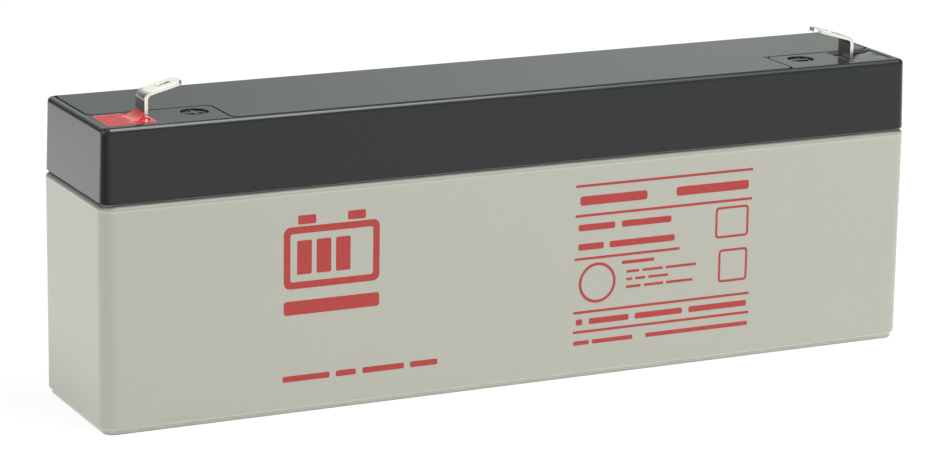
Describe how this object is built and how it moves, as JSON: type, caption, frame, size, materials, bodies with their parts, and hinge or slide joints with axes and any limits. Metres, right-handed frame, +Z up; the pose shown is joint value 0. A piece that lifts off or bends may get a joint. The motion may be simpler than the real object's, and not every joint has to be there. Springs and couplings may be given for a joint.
{
  "type": "sealed lead acid battery",
  "caption": "Long, narrow sealed lead acid battery with a grey container, a charcoal lid, potted wells and bent push-on tabs.",
  "frame": {"origin": "middle of the underside", "axes": "+Z up, +X along the length towards the negative terminal, -Y out of the printed front face, where the terminals are"},
  "size_m": [0.178, 0.034, 0.0668],
  "materials": {
    "container_plastic": "moulded ABS, fine satin grain",
    "lid_plastic": "moulded ABS, soft gloss",
    "red_epoxy": "poured and cured, glossy",
    "black_epoxy": "poured and cured, glossy",
    "tinned_terminal": "tin-plated brass strip, bright",
    "lead": "cast lead, dull grey",
    "positive_plate": "pasted plate, dark brown, on a cast lead strap",
    "negative_plate": "pasted plate, grey sponge lead, on a cast lead strap",
    "glass_mat": "absorbent glass fibre mat",
    "cap_rubber": "moulded rubber",
    "printed_mark": "red pad-printed ink"
  },
  "bodies": {
    "root": {"container": "container_plastic", "lid": "lid_plastic", "valve_cover": "lid_plastic", "lid_adhesive": "black_epoxy", "positive_terminal": "tinned_terminal", "positive_post": "lead", "negative_terminal": "tinned_terminal", "negative_post": "lead", "positive_seal": "red_epoxy", "negative_seal": "black_epoxy", "valve_cap_1": "cap_rubber", "positive_plate_group_1": "positive_plate", "negative_plate_group_1": "negative_plate", "separator_1_1": "glass_mat", "separator_1_2": "glass_mat", "separator_1_3": "glass_mat", "valve_cap_2": "cap_rubber", "positive_plate_group_2": "positive_plate", "negative_plate_group_2": "negative_plate", "separator_2_1": "glass_mat", "separator_2_2": "glass_mat", "separator_2_3": "glass_mat", "valve_cap_3": "cap_rubber", "positive_plate_group_3": "positive_plate", "negative_plate_group_3": "negative_plate", "separator_3_1": "glass_mat", "separator_3_2": "glass_mat", "separator_3_3": "glass_mat", "valve_cap_4": "cap_rubber", "positive_plate_group_4": "positive_plate", "negative_plate_group_4": "negative_plate", "separator_4_1": "glass_mat", "separator_4_2": "glass_mat", "separator_4_3": "glass_mat", "valve_cap_5": "cap_rubber", "positive_plate_group_5": "positive_plate", "negative_plate_group_5": "negative_plate", "separator_5_1": "glass_mat", "separator_5_2": "glass_mat", "separator_5_3": "glass_mat", "valve_cap_6": "cap_rubber", "positive_plate_group_6": "positive_plate", "negative_plate_group_6": "negative_plate", "separator_6_1": "glass_mat", "separator_6_2": "glass_mat", "separator_6_3": "glass_mat"}
  },
  "joints": []
}
